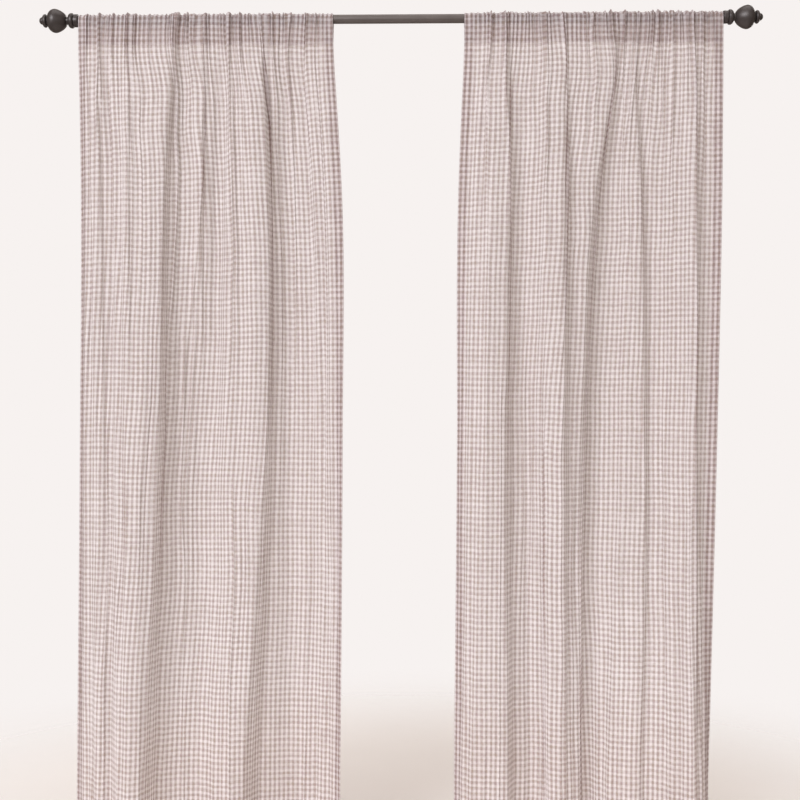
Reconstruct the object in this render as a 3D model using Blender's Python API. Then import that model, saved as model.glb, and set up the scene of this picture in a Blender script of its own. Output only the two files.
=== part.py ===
"""A pair of sheer rod-pocket curtain panels, gathered on one rod with ball finials.

Lengths are in metres, except in the tables, which are in millimetres. X runs along the rod, -Y
faces the room and +Z is up. The origin is the middle of the rod's axis.
"""
import math

import bmesh
import bpy
import numpy as np

for old in list(bpy.data.objects):
    bpy.data.objects.remove(old, do_unlink=True)

MM = 0.001
GAP = 0.0003

ROD_DIAMETER = 0.0254
ROD_RADIUS = 0.5 * ROD_DIAMETER
ROD_LENGTH = 1.836
ROD_SIDES = 32

# Each panel is one width of voile, as cut and hemmed.
CLOTH_WIDTH = 1.016
CLOTH_DROP = 2.413
CLOTH_THICKNESS = 0.0012
POCKET_DEPTH = 0.089
# The pocket's round top is a little wider than the rod, and rests on the rod's top.
POCKET_SLACK = 0.0025
REST_CLEARANCE = 0.0008
SEAM_HEIGHT = 0.004
LAYER_GAP = 0.0005

# Folds of the hanging cloth. Each row is an edge, a crest or a hollow, from a panel's left edge
# to its right. x is its place along the rod and out is how far it stands towards the room, each
# at four levels: just under the pocket, then upper, middle and foot.
FOLD_LEVELS = {"top": -0.075, "upper": -0.515, "middle": -1.230, "foot": -2.170}
FOLD_COLUMNS = ("x_top", "x_upper", "x_middle", "x_foot",
                "out_top", "out_upper", "out_middle", "out_foot")
LEFT_FOLDS = [
    (-916, -911, -921, -932,     0,   -8,  -35,  -45),
    (-898, -888, -891, -897,     3,    6,    5,  -17),
    (-880, -867, -861, -804,     5,   13,   25,   60),
    (-802, -781, -791, -771,     0,   16,   33,   83),
    (-775, -750, -753, -737,     5,   42,   63,  100),
    (-744, -709, -710, -721,     4,   46,   69,   98),
    (-704, -674, -673, -706,     2,   40,   61,   90),
    (-654, -643, -648, -672,    -4,  -20,  -15,   23),
    (-622, -618, -627, -629,    -1,  -24,  -30,   11),
    (-602, -592, -604, -603,     3,    7,  -46,  -21),
    (-579, -573, -576, -580,     2,    4,  -49,  -23),
    (-560, -555, -552, -561,    -3,  -28,  -47,  -11),
    (-506, -507, -526, -503,    -3,  -30,  -43,   17),
    (-482, -480, -488, -473,     4,    0,   -3,   23),
    (-437, -402, -405, -445,     2,    4,    0,    5),
    (-409, -377, -382, -401,    -4,  -24,  -42,  -57),
    (-326, -314, -316, -296,    -2,  -34,  -56,  -90),
    (-283, -268, -270, -254,     0,  -30,  -50,  -75),
    (-254, -226, -218, -209,     4,    0,  -14,  -50),
    (-209, -186, -185, -188,     2,    8,   12,  -32),
    (-188, -161, -159, -168,     0,   10,   28,  -14),
]
RIGHT_FOLDS = [
    (185,  167,  164,  156,     0,    0,  -10,  -42),
    (213,  196,  187,  166,     2,    2,    0,  -36),
    (239,  232,  208,  182,     2,   12,   28,  -14),
    (264,  258,  229,  201,     5,   50,   54,    8),
    (290,  292,  283,  286,     3,   46,   48,    8),
    (313,  314,  324,  352,    -3,   18,    4,  -47),
    (353,  355,  359,  378,    -3,    4,   -8,  -54),
    (390,  394,  393,  404,    -2,   12,    0,  -47),
    (415,  415,  412,  430,     4,   46,   52,   -4),
    (449,  447,  457,  470,     3,   42,   52,   -6),
    (476,  476,  489,  493,    -2,   16,   22,  -28),
    (550,  537,  505,  519,    -2,    6,   10,  -48),
    (579,  595,  568,  562,    -5,  -50,  -42,  -42),
    (610,  626,  626,  578,    -4,  -46,  -44,  -20),
    (631,  640,  645,  594,     3,  -28,  -24,    4),
    (669,  680,  694,  660,     2,  -26,  -24,   18),
    (690,  712,  723,  700,    -3,  -56,  -56,    4),
    (749,  754,  755,  740,    -2,  -52,  -56,   14),
    (774,  776,  773,  769,     4,   -8,   -8,   50),
    (825,  818,  829,  815,     2,   -4,    0,   56),
    (860,  861,  861,  840,    -2,  -16,   -6,   68),
    (888,  890,  882,  852,     2,   -4,    4,   64),
    (916,  915,  901,  869,     0,    4,   12,   58),
]

# Puckers where the cloth is pushed together on the rod. x is the place along the rod, share is
# how much of the spare cloth one takes beside the others, and fade is how far down it runs.
PUCKER_COLUMNS = ("x", "share", "fade")
PUCKER_BASE = 0.0095
PUCKER_SPREAD = 0.9
LEFT_PUCKERS = [
    (-896,  9, 120),
    (-853, 10, 200),
    (-816, 10, 160),
    (-774, 14, 420),
    (-753,  9, 380),
    (-714,  4, 150),
    (-672,  5, 300),
    (-632, 13, 500),
    (-600, 10, 260),
    (-580, 10, 240),
    (-562, 12, 420),
    (-489, 12, 600),
    (-455,  9, 140),
    (-428, 11, 260),
    (-386, 13, 300),
    (-352,  9, 180),
    (-336, 10, 240),
    (-268, 13, 260),
    (-238,  6, 420),
]
RIGHT_PUCKERS = [
    (256,  9, 500),
    (290,  9, 200),
    (314, 12, 500),
    (358,  7, 140),
    (404, 10, 420),
    (420,  9, 420),
    (457, 11, 420),
    (518,  8, 160),
    (538,  8, 240),
    (578, 10, 420),
    (597, 10, 420),
    (615, 10, 300),
    (631, 12, 500),
    (649,  8, 240),
    (666,  9, 300),
    (692,  9, 420),
    (723,  7, 140),
    (763, 11, 420),
    (792,  8, 240),
    (810,  9, 260),
    (827, 11, 260),
    (853, 10, 260),
]

# The cloth is worked out at this many places across, and its folds are made this many times as
# deep as in the table at most. No flank leans more steeply than this slope.
CLOTH_SAMPLES = 1017
DEEPEST = 4.0
BISECTIONS = 30
STEEPEST = 0.955

# The mesh of a panel: how far apart its columns may lie, and the heights of the rows between
# the foot and the pocket. A bend's normal is lengthened by at most one over the mitre limit.
NARROWEST_COLUMN = 0.002
WIDEST_COLUMN = 0.028
HANGING_ROWS = (-2.030, -1.640, -1.230, -0.870, -0.560, -0.350, -0.210, -0.125)
ARC_STEPS = 6
MITRE_LIMIT = 0.65

# Turned sections of a finial, from the rod's end outwards. root is the radius at both ends of
# the section, swell its largest radius and peak where along it that lies. near_power and
# far_power say how square the bulge is before and after its peak.
FINIAL_COLUMNS = ("length", "root", "swell", "peak", "near_power", "far_power", "points")
FINIAL_SECTIONS = {
    "collar":   (13.4, 15.4, 18.0, 0.50, 4.0, 4.0, 5),
    "bead":     (15.4, 13.0, 21.3, 0.35, 2.3, 2.0, 6),
    "neck":     (5.4, 10.6, 10.6, 0.50, 2.0, 2.0, 2),
    "ball":     (54.0, 10.6, 33.4, 0.60, 1.5, 2.0, 12),
    "tip_neck": (2.3, 11.4, 11.4, 0.50, 2.0, 2.0, 2),
    "tip_ring": (11.7, 12.0, 18.7, 0.42, 2.0, 2.0, 5),
}
TIP_LENGTH = 0.011
TIP_RADIUS = 0.011
TIP_POINTS = 5
FINIAL_SIDES = 20
MERGE_DISTANCE = 0.00002

# Colours are linear.
BRONZE_PAINT = (0.050, 0.046, 0.046)
VOILE = (0.62, 0.56, 0.53)


def material(name, colour, roughness, metallic=0.0):
    """Principled material with one colour."""
    made = bpy.data.materials.new(name)
    made.use_nodes = True
    shader = made.node_tree.nodes["Principled BSDF"]
    shader.inputs["Base Color"].default_value = (*colour, 1.0)
    shader.inputs["Roughness"].default_value = roughness
    shader.inputs["Metallic"].default_value = metallic
    return made


def add_object(name, mesh_source, own_material):
    """Turns a bmesh into a named object with smooth faces and its own material."""
    mesh = bpy.data.meshes.new(name)
    mesh_source.to_mesh(mesh)
    mesh_source.free()
    mesh.materials.append(own_material)
    mesh.shade_smooth()
    mesh.set_sharp_from_angle(angle=math.radians(40.0))
    made = bpy.data.objects.new(name, mesh)
    bpy.context.scene.collection.objects.link(made)
    return made


def column(table, names, name, unit=MM):
    """One named column of a table, in metres unless another unit is given."""
    place = names.index(name)
    return np.array([row[place] for row in table], dtype=float) * unit


def spline(knots, values, at):
    """Smooth curve through values at rising knots, read at the given places."""
    slopes = np.gradient(values, knots)
    at = np.clip(at, knots[0], knots[-1])
    left = np.clip(np.searchsorted(knots, at, side="right") - 1, 0, len(knots) - 2)
    step = knots[left + 1] - knots[left]
    t = (at - knots[left]) / step
    return ((2 * t**3 - 3 * t**2 + 1) * values[left]
            + (t**3 - 2 * t**2 + t) * step * slopes[left]
            + (3 * t**2 - 2 * t**3) * values[left + 1]
            + (t**3 - t**2) * step * slopes[left + 1])


def lengths_along(x, out):
    """Distance along a line in plan, from its first point to each of its points."""
    return np.concatenate([[0.0], np.cumsum(np.hypot(np.diff(x), np.diff(out)))])


class Panel:
    """One hanging width of cloth, read by its distance along the cloth and its height."""

    def __init__(self, folds, puckers):
        self.cloth = np.linspace(0.0, CLOTH_WIDTH, CLOTH_SAMPLES)
        names = list(FOLD_LEVELS)[::-1]
        self.levels = np.array([FOLD_LEVELS[name] for name in names])
        self.fold_x = np.array([column(folds, FOLD_COLUMNS, "x_" + name) for name in names])
        self.fold_out = np.array([column(folds, FOLD_COLUMNS, "out_" + name) for name in names])

        edge_left, edge_right = self.fold_x[-1, [0, -1]]
        share = column(puckers, PUCKER_COLUMNS, "share", 1.0)
        taken = (CLOTH_WIDTH - (edge_right - edge_left)) * share / share.sum()
        self.pucker_length = taken + PUCKER_BASE
        self.pucker_height = 0.5 * np.sqrt(self.pucker_length**2 - PUCKER_BASE**2)
        self.pucker_fade = column(puckers, PUCKER_COLUMNS, "fade")
        self.pucker_cloth = (column(puckers, PUCKER_COLUMNS, "x") - edge_left
                             + np.cumsum(taken) - 0.5 * taken)

    def fold_line(self, z):
        """Plan of the main folds at one height: place, stand-out and distance along the cloth."""
        z = min(z, self.levels[-1])
        knots_x = np.array([spline(self.levels, x, z) for x in self.fold_x.T])
        knots_out = np.array([spline(self.levels, out, z) for out in self.fold_out.T])
        chord = lengths_along(knots_x, knots_out)
        fine = np.linspace(0.0, chord[-1], CLOTH_SAMPLES)
        x = spline(chord, knots_x, fine)
        out = spline(chord, knots_out, fine)
        length = lengths_along(x, out)
        return x, out, length * CLOTH_WIDTH / length[-1]

    def pucker_out(self, z):
        """How far the puckers stand out across the cloth at one height."""
        below_pocket = max(0.0, self.levels[-1] - z)
        out = np.zeros_like(self.cloth)
        rows = zip(self.pucker_cloth, self.pucker_length, self.pucker_height, self.pucker_fade)
        for place, length, height, fade in rows:
            left = math.exp(-below_pocket / fade)
            half = 0.5 * length * (1.0 + PUCKER_SPREAD * (1.0 - left))
            out += left * height * np.maximum(0.0, 1.0 - np.abs(self.cloth - place) / half)
        return out

    def plan(self, z, columns):
        """Place along the rod and stand-out of the given columns of cloth at one height.

        Cloth doesn't stretch, so the folds are made deeper or shallower until the whole width
        of cloth fits between the panel's two edges. On the rod itself only puckers stand out.
        """
        x, fold_out, length = self.fold_line(z)
        under_rod = (-ROD_RADIUS - z) / (-ROD_RADIUS - self.levels[-1])
        out = np.clip(under_rod, 0.0, 1.0) * np.interp(self.cloth, length, fold_out)
        out += self.pucker_out(z)
        slopes = np.gradient(out, self.cloth)
        step = self.cloth[1] - self.cloth[0]
        low, high = 0.0, DEEPEST
        for _ in range(BISECTIONS):
            depth = 0.5 * (low + high)
            along = np.sqrt(1.0 - np.clip(depth * slopes, -STEEPEST, STEEPEST)**2)
            if along[:-1].sum() * step > x[-1] - x[0]:
                low = depth
            else:
                high = depth
        place = x[0] + np.concatenate([[0.0], np.cumsum(along[:-1]) * step])
        return np.interp(columns, self.cloth, place), np.interp(columns, self.cloth, depth * out)

    def columns(self):
        """Places across the cloth for the mesh's columns: each pucker's feet and top, and between."""
        marks = [0.0, CLOTH_WIDTH]
        for place, length in zip(self.pucker_cloth, self.pucker_length):
            marks += [place - 0.5 * length, place, place + 0.5 * length]
        marks = sorted(marks)
        filled = []
        for start, end in zip(marks, marks[1:]):
            if end - start < NARROWEST_COLUMN:
                continue
            parts = math.ceil((end - start) / WIDEST_COLUMN)
            filled += [start + (end - start) * i / parts for i in range(parts)]
        return np.array(filled + [CLOTH_WIDTH])


def panel_rows(panel, columns):
    """Middle surface of the cloth: from the foot up the front, over the rod and down the back."""
    inner_radius = ROD_RADIUS + POCKET_SLACK
    centre_z = ROD_RADIUS + REST_CLEARANCE - inner_radius
    radius = inner_radius + 0.5 * CLOTH_THICKNESS
    stitch_z = centre_z + radius - POCKET_DEPTH
    foot_z = centre_z + radius - CLOTH_DROP

    front_heights = (foot_z, *HANGING_ROWS, stitch_z, stitch_z + SEAM_HEIGHT)
    rows = []
    for z in front_heights:
        x, out = panel.plan(z, columns)
        rows.append(np.stack([x, -radius - out, np.full_like(x, z)], axis=1))
    stitch = front_heights.index(stitch_z)

    x, ridge = panel.plan(centre_z, columns)
    for i in range(ARC_STEPS + 1):
        turn = math.pi * i / ARC_STEPS
        reach = radius + ridge
        rows.append(np.stack([x, -reach * math.cos(turn), centre_z + reach * math.sin(turn)], axis=1))

    top_back = rows[-1]
    seam_back = rows[stitch] - plan_normals(rows[stitch]) * (CLOTH_THICKNESS + LAYER_GAP)
    for z in (stitch_z + SEAM_HEIGHT, stitch_z):
        share = (centre_z - z) / (centre_z - stitch_z)
        row = (1.0 - share) * top_back + share * seam_back
        row[:, 2] = z
        rows.append(row)
    return np.array(rows), stitch


def plan_normals(row):
    """Level normals of a row of points, towards the room, longer where it bends sharply."""
    edges = np.diff(row[:, :2], axis=0)
    edges /= np.linalg.norm(edges, axis=1)[:, None]
    sides = np.stack([edges[:, 1], -edges[:, 0]], axis=1)
    before = np.vstack([sides[:1], sides])
    after = np.vstack([sides, sides[-1:]])
    middle = before + after
    middle /= np.linalg.norm(middle, axis=1)[:, None]
    reach = 1.0 / np.maximum((middle * before).sum(axis=1), MITRE_LIMIT)
    return np.column_stack([middle * reach[:, None], np.zeros(len(row))])


def surface_normals(rows):
    """Normals of a grid of points, out of the cloth's outer side, longer where it bends."""
    along = np.diff(rows, axis=1)
    up = np.diff(rows, axis=0)
    across = 0.5 * (along[:-1] + along[1:])
    rise = 0.5 * (up[:, :-1] + up[:, 1:])
    faces = np.cross(across, rise)
    faces /= np.linalg.norm(faces, axis=2)[:, :, None]
    padded = np.pad(faces, ((1, 1), (1, 1), (0, 0)), mode="edge")
    corners = [padded[:-1, :-1], padded[:-1, 1:], padded[1:, :-1], padded[1:, 1:]]
    middle = sum(corners)
    middle /= np.linalg.norm(middle, axis=2)[:, :, None]
    closest = np.min([(middle * corner).sum(axis=2) for corner in corners], axis=0)
    return middle / np.maximum(closest, MITRE_LIMIT)[:, :, None]


def cut_directions(rows):
    """For each cell of a grid of points, whether its shorter diagonal rises to the right."""
    rising = np.linalg.norm(rows[1:, 1:] - rows[:-1, :-1], axis=2)
    falling = np.linalg.norm(rows[1:, :-1] - rows[:-1, 1:], axis=2)
    return rising < falling


def add_strip(mesh, below, above, rises):
    """Pairs of triangles between two rows of vertices, each pair cut the way that rises says."""
    for i in range(len(below) - 1):
        corners = (below[i], below[i + 1], above[i + 1], above[i])
        first = 0 if rises[i] else 1
        mesh.faces.new([corners[(first + k) % 4] for k in range(3)])
        mesh.faces.new([corners[(first + 2 + k) % 4] for k in range(3)])


def build_panel(name, folds, puckers, cloth_material):
    """One closed sheet with a rod pocket: an outer skin, and an inner one around the tunnel."""
    panel = Panel(folds, puckers)
    columns = panel.columns()
    rows, stitch = panel_rows(panel, columns)
    offset = surface_normals(rows) * 0.5 * CLOTH_THICKNESS
    last = len(rows) - 1

    mesh = bmesh.new()
    outer = [[mesh.verts.new(point) for point in row] for row in rows + offset]
    inner = [[mesh.verts.new(point) for point in row] for row in (rows - offset)[:last]]

    # The outer skin runs up the front, over, down the back and down the hanging part's back.
    # The inner one runs around the tunnel. Both skins are cut along the same diagonals.
    rises = cut_directions(rows)
    level = rises[0]
    for row in range(last):
        add_strip(mesh, outer[row], outer[row + 1], rises[row])
    add_strip(mesh, outer[last], inner[stitch], level)
    for row in range(stitch):
        add_strip(mesh, inner[row], inner[row + 1], rises[row])
    add_strip(mesh, inner[0], outer[0], level)
    for row in range(stitch + 1, last - 1):
        add_strip(mesh, inner[row], inner[row + 1], rises[row])
    add_strip(mesh, inner[last - 1], inner[stitch + 1], level)

    for side in (0, len(columns) - 1):
        for row in range(last - 1):
            mesh.faces.new((outer[row][side], outer[row + 1][side],
                            inner[row + 1][side], inner[row][side]))
        mesh.faces.new((inner[stitch][side], inner[stitch + 1][side],
                        inner[last - 1][side], outer[last][side]))
        mesh.faces.new((outer[last][side], inner[last - 1][side], outer[last - 1][side]))
    bmesh.ops.recalc_face_normals(mesh, faces=mesh.faces)
    return add_object(name, mesh, cloth_material)


def finial_profile():
    """Points (radius, distance from the rod's end) of a turned finial, from its axis outwards."""
    points = [(0.0, 0.0)]
    start = 0.0
    for section in FINIAL_SECTIONS.values():
        size = dict(zip(FINIAL_COLUMNS, section))
        for i in range(size["points"]):
            t = 0.5 - 0.5 * math.cos(math.pi * i / (size["points"] - 1))
            if t < size["peak"]:
                power = size["near_power"]
                from_peak = 1.0 - t / size["peak"]
            else:
                power = size["far_power"]
                from_peak = (t - size["peak"]) / (1.0 - size["peak"])
            bulge = max(0.0, 1.0 - from_peak**power) ** (1.0 / power)
            radius = size["root"] + (size["swell"] - size["root"]) * bulge
            points.append((radius * MM, start + t * size["length"] * MM))
        start += size["length"] * MM
    for i in range(TIP_POINTS):
        turn = 0.5 * math.pi * i / (TIP_POINTS - 1)
        points.append((TIP_RADIUS * math.cos(turn), start + TIP_LENGTH * math.sin(turn)))
    return points


def build_finial(name, side, paint):
    """Turned finial on the rod's end; side is -1 at the left and 1 at the right."""
    mesh = bmesh.new()
    verts = [mesh.verts.new((radius, 0.0, height)) for radius, height in finial_profile()]
    edges = [mesh.edges.new(pair) for pair in zip(verts, verts[1:])]
    bmesh.ops.spin(mesh, geom=verts + edges, cent=(0, 0, 0), axis=(0, 0, 1),
                   angle=2.0 * math.pi, steps=FINIAL_SIDES, use_duplicate=False)
    bmesh.ops.remove_doubles(mesh, verts=mesh.verts, dist=MERGE_DISTANCE)
    bmesh.ops.recalc_face_normals(mesh, faces=mesh.faces)
    made = add_object(name, mesh, paint)
    made.location = (side * (0.5 * ROD_LENGTH + GAP), 0.0, 0.0)
    made.rotation_euler = (0.0, side * 0.5 * math.pi, 0.0)
    return made


def build_rod(name, paint):
    """Plain round bar between the finials."""
    mesh = bmesh.new()
    bmesh.ops.create_cone(mesh, cap_ends=True, segments=ROD_SIDES, radius1=ROD_RADIUS,
                          radius2=ROD_RADIUS, depth=ROD_LENGTH)
    made = add_object(name, mesh, paint)
    made.rotation_euler = (0.0, 0.5 * math.pi, 0.0)
    return made


build_rod("rod", material("rod_paint", BRONZE_PAINT, roughness=0.38, metallic=0.6))
for name, side in (("finial_left", -1), ("finial_right", 1)):
    build_finial(name, side, material(name + "_paint", BRONZE_PAINT, roughness=0.40, metallic=0.5))
for name, folds, puckers in (("panel_left", LEFT_FOLDS, LEFT_PUCKERS),
                             ("panel_right", RIGHT_FOLDS, RIGHT_PUCKERS)):
    build_panel(name, folds, puckers, material(name + "_voile", VOILE, roughness=0.9))
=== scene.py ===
# A pair of sheer rod-pocket curtain panels, gathered on one rod with ball finials.
# Lengths are in metres, and in millimetres in the tables. X runs along the rod, -Y faces the room
# and +Z is up. The origin is the middle of the rod's axis.
import math

import bpy
import numpy as np
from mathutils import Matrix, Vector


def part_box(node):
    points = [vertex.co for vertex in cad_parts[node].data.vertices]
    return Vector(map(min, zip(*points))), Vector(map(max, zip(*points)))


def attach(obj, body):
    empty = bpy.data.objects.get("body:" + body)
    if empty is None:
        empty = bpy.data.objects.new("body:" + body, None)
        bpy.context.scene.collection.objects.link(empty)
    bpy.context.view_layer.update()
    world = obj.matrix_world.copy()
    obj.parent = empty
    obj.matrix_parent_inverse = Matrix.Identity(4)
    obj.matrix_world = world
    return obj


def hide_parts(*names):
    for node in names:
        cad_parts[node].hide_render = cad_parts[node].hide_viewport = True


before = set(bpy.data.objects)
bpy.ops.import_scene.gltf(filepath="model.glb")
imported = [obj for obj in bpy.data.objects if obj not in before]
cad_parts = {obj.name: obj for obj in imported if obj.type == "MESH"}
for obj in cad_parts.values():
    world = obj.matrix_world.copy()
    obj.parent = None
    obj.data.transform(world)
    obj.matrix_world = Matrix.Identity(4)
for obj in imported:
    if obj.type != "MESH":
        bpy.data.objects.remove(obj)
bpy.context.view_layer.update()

# The rod is one straight steel tube, 25.4 mm across, powder coated in satin dark bronze. It runs
# through both rod pockets, and a finial closes each of its ends.
MM = 0.001
rod_low, rod_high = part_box("rod")
ROD_RADIUS = 0.5 * (rod_high[2] - rod_low[2])
ROD_LENGTH = rod_high[0] - rod_low[0]
ROD_WALL = 0.8 * MM
ROD_SIDES = 96
ROD_RIM = 0.25 * MM
SMOOTH_ANGLE = math.radians(35.0)


def linear(text):
    """Linear colour of an sRGB hex value."""
    shares = [int(text[i:i + 2], 16) / 255.0 for i in (1, 3, 5)]
    return (*[s / 12.92 if s <= 0.04045 else ((s + 0.055) / 1.055)**2.4 for s in shares], 1.0)


def add_node(tree, kind, inputs, **settings):
    """Adds a node with its settings. Each input is given a value, or linked to a socket."""
    node = tree.nodes.new("ShaderNode" + kind)
    for name, value in settings.items():
        setattr(node, name, value)
    for name, value in inputs.items():
        if isinstance(value, bpy.types.NodeSocket):
            tree.links.new(value, node.inputs[name])
        else:
            node.inputs[name].default_value = value
    return node


def new_material(name):
    """An empty node material, with its tree and its output."""
    made = bpy.data.materials.new(name)
    made.use_nodes = True
    made.node_tree.nodes.clear()
    return made, made.node_tree, add_node(made.node_tree, "OutputMaterial", {})


def bronze_powder_coat(name, deep, pale, gloss):
    """Powder coat on metal: an even dark film with a faint orange peel and slightly paler rubs."""
    made, tree, output = new_material(name)
    place = add_node(tree, "TexCoord", {}).outputs["Object"]
    cloud = add_node(tree, "TexNoise", {"Vector": place, "Scale": 1 / (60 * MM), "Detail": 3.0})
    peel = add_node(tree, "TexNoise", {"Vector": place, "Scale": 1 / (1.6 * MM), "Detail": 2.0})
    rub = add_node(tree, "TexNoise", {"Vector": place, "Scale": 1 / (9 * MM), "Detail": 5.0})
    rubbed = add_node(tree, "MapRange", {"Value": rub.outputs[0], "From Min": 0.56, "From Max": 0.74,
                                         "To Max": 0.35}, interpolation_type="SMOOTHSTEP")
    share = add_node(tree, "Math", {0: cloud.outputs[0], 1: rubbed.outputs[0]}, operation="ADD",
                     use_clamp=True)
    colour = add_node(tree, "Mix", {0: share.outputs[0], 6: linear(deep), 7: linear(pale)},
                      data_type="RGBA")
    rough = add_node(tree, "MapRange", {"Value": share.outputs[0], "To Min": gloss,
                                        "To Max": gloss + 0.10})
    bump = add_node(tree, "Bump", {"Height": peel.outputs[0], "Strength": 0.25,
                                   "Distance": 0.05 * MM})
    coat = add_node(tree, "BsdfPrincipled", {
        "Base Color": colour.outputs[2], "Roughness": rough.outputs[0],
        "Normal": bump.outputs[0], "Metallic": 0.35, "Coat Weight": 0.15, "Coat Roughness": 0.35})
    tree.links.new(coat.outputs[0], output.inputs["Surface"])
    return made


def start_piece(name):
    """Names the object that an operator has just added."""
    piece = bpy.context.object
    piece.name = name
    piece.data.name = name
    return piece


def finish_piece(piece, material):
    """Applies a piece's modifiers and place, smooths it and gives it its finish."""
    bpy.ops.object.select_all(action="DESELECT")
    piece.select_set(True)
    bpy.context.view_layer.objects.active = piece
    for modifier in list(piece.modifiers):
        bpy.ops.object.modifier_apply(modifier=modifier.name)
    bpy.ops.object.transform_apply(location=True, rotation=True, scale=True)
    bpy.ops.object.shade_smooth_by_angle(angle=SMOOTH_ANGLE)
    piece.data.materials.clear()
    piece.data.materials.append(material)
    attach(piece, "root")


bpy.ops.object.select_all(action="DESELECT")
bpy.ops.mesh.primitive_cylinder_add(vertices=ROD_SIDES, radius=ROD_RADIUS, depth=ROD_LENGTH,
                                    end_fill_type="NOTHING", rotation=(0.0, 0.5 * math.pi, 0.0))
rod = start_piece("curtain_rod")
wall = rod.modifiers.new("wall", "SOLIDIFY")
wall.thickness = ROD_WALL
wall.offset = -1.0
rim = rod.modifiers.new("rim", "BEVEL")
rim.width = ROD_RIM
rim.segments = 2
rim.angle_limit = math.radians(60.0)
finish_piece(rod, bronze_powder_coat("bronze_powder_coat", "#5B5451", "#6D6562", 0.42))
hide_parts("rod")

# Each finial is turned metal, painted to match: a collar that takes the rod's end, a bead, a neck,
# a ball, and a ring with a round tip. It plugs into the tube. The table has its sections from the
# rod outwards, in millimetres; near_power and far_power say how square a bulge is.
FINIAL_COLUMNS = ("length", "root", "swell", "peak", "near_power", "far_power", "points")
FINIAL_SECTIONS = {
    "collar":   (13.4, 15.4, 18.0, 0.50, 4.0, 4.0, 13),
    "bead":     (15.4, 13.0, 21.3, 0.35, 2.3, 2.0, 15),
    "neck":     (5.4, 10.6, 10.6, 0.50, 2.0, 2.0, 3),
    "ball":     (54.0, 10.6, 33.4, 0.60, 1.5, 2.0, 33),
    "tip_neck": (2.3, 11.4, 11.4, 0.50, 2.0, 2.0, 3),
    "tip_ring": (11.7, 12.0, 18.7, 0.42, 2.0, 2.0, 13),
}
TIP_LENGTH = 11.0
TIP_RADIUS = 11.0
TIP_POINTS = 10
TIP_END = 0.02
FINIAL_SIDES = 72
FIRST_RADIUS = 14.6


def finial_profile():
    """Rings (radius, distance from the rod's end) of a turned finial, in metres."""
    rings = [(FIRST_RADIUS, 0.0)]
    start = 0.0
    for section in FINIAL_SECTIONS.values():
        size = dict(zip(FINIAL_COLUMNS, section))
        for i in range(size["points"]):
            t = 0.5 - 0.5 * math.cos(math.pi * i / (size["points"] - 1))
            if t < size["peak"]:
                power = size["near_power"]
                from_peak = 1.0 - t / size["peak"]
            else:
                power = size["far_power"]
                from_peak = (t - size["peak"]) / (1.0 - size["peak"])
            bulge = max(0.0, 1.0 - from_peak**power)**(1.0 / power)
            radius = size["root"] + (size["swell"] - size["root"]) * bulge
            rings.append((radius, start + t * size["length"]))
        start += size["length"]
    for i in range(TIP_POINTS):
        turn = 0.5 * math.pi * i / TIP_POINTS
        rings.append((TIP_RADIUS * math.cos(turn), start + TIP_LENGTH * math.sin(turn)))
    rings.append((TIP_END, start + TIP_LENGTH))
    return [(radius * MM, along * MM) for radius, along in rings]


def turn_finial(name, side, node, paint):
    """Draws a disc out along the rod's line, ring by ring; side is -1 at the left, 1 at the right."""
    low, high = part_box(node)
    start = min(abs(low[0]), abs(high[0]))
    rings = finial_profile()
    bpy.ops.object.select_all(action="DESELECT")
    bpy.ops.mesh.primitive_circle_add(vertices=FINIAL_SIDES, radius=rings[0][0], fill_type="NGON",
                                      location=(side * start, 0.0, 0.0),
                                      rotation=(0.0, 0.5 * math.pi, 0.0))
    finial = start_piece(name)
    bpy.ops.object.mode_set(mode="EDIT")
    for (radius, along), (next_radius, next_along) in zip(rings, rings[1:]):
        bpy.ops.mesh.extrude_region_move(
            TRANSFORM_OT_translate={"value": (side * (next_along - along), 0.0, 0.0)})
        grow = next_radius / radius
        bpy.ops.transform.resize(value=(grow, grow, grow),
                                 center_override=(side * (start + next_along), 0.0, 0.0))
    bpy.ops.mesh.merge(type="CENTER")
    bpy.ops.mesh.select_all(action="SELECT")
    bpy.ops.mesh.normals_make_consistent(inside=False)
    bpy.ops.object.mode_set(mode="OBJECT")
    finish_piece(finial, paint)
    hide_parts(node)


finial_paint = bronze_powder_coat("bronze_paint_on_metal", "#3A3433", "#4E4746", 0.36)
turn_finial("turned_finial_left", -1, "finial_left", finial_paint)
turn_finial("turned_finial_right", 1, "finial_right", finial_paint)

# The left panel is one width of sheer gingham voile, a loose plain weave of slubby white and taupe
# yarn. Its sides and foot are turned back and stitched, and its top is turned back into a pocket.
# The pocket is pushed along the rod, which gathers it into thin loops with soft folds below.
CLOTH_WIDTH = 1.016
CLOTH_DROP = 2.413
POCKET_DEPTH = 0.089
POCKET_RADIUS = ROD_RADIUS + 3.1 * MM
POCKET_CENTRE_Z = -1.7 * MM
STITCH_Z = POCKET_CENTRE_Z + POCKET_RADIUS - POCKET_DEPTH
FOOT_Z = POCKET_CENTRE_Z + POCKET_RADIUS - CLOTH_DROP
SIDE_HEM = 0.0275
FOOT_HEM = 0.090
LAYER_GAP = 0.9 * MM

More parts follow.
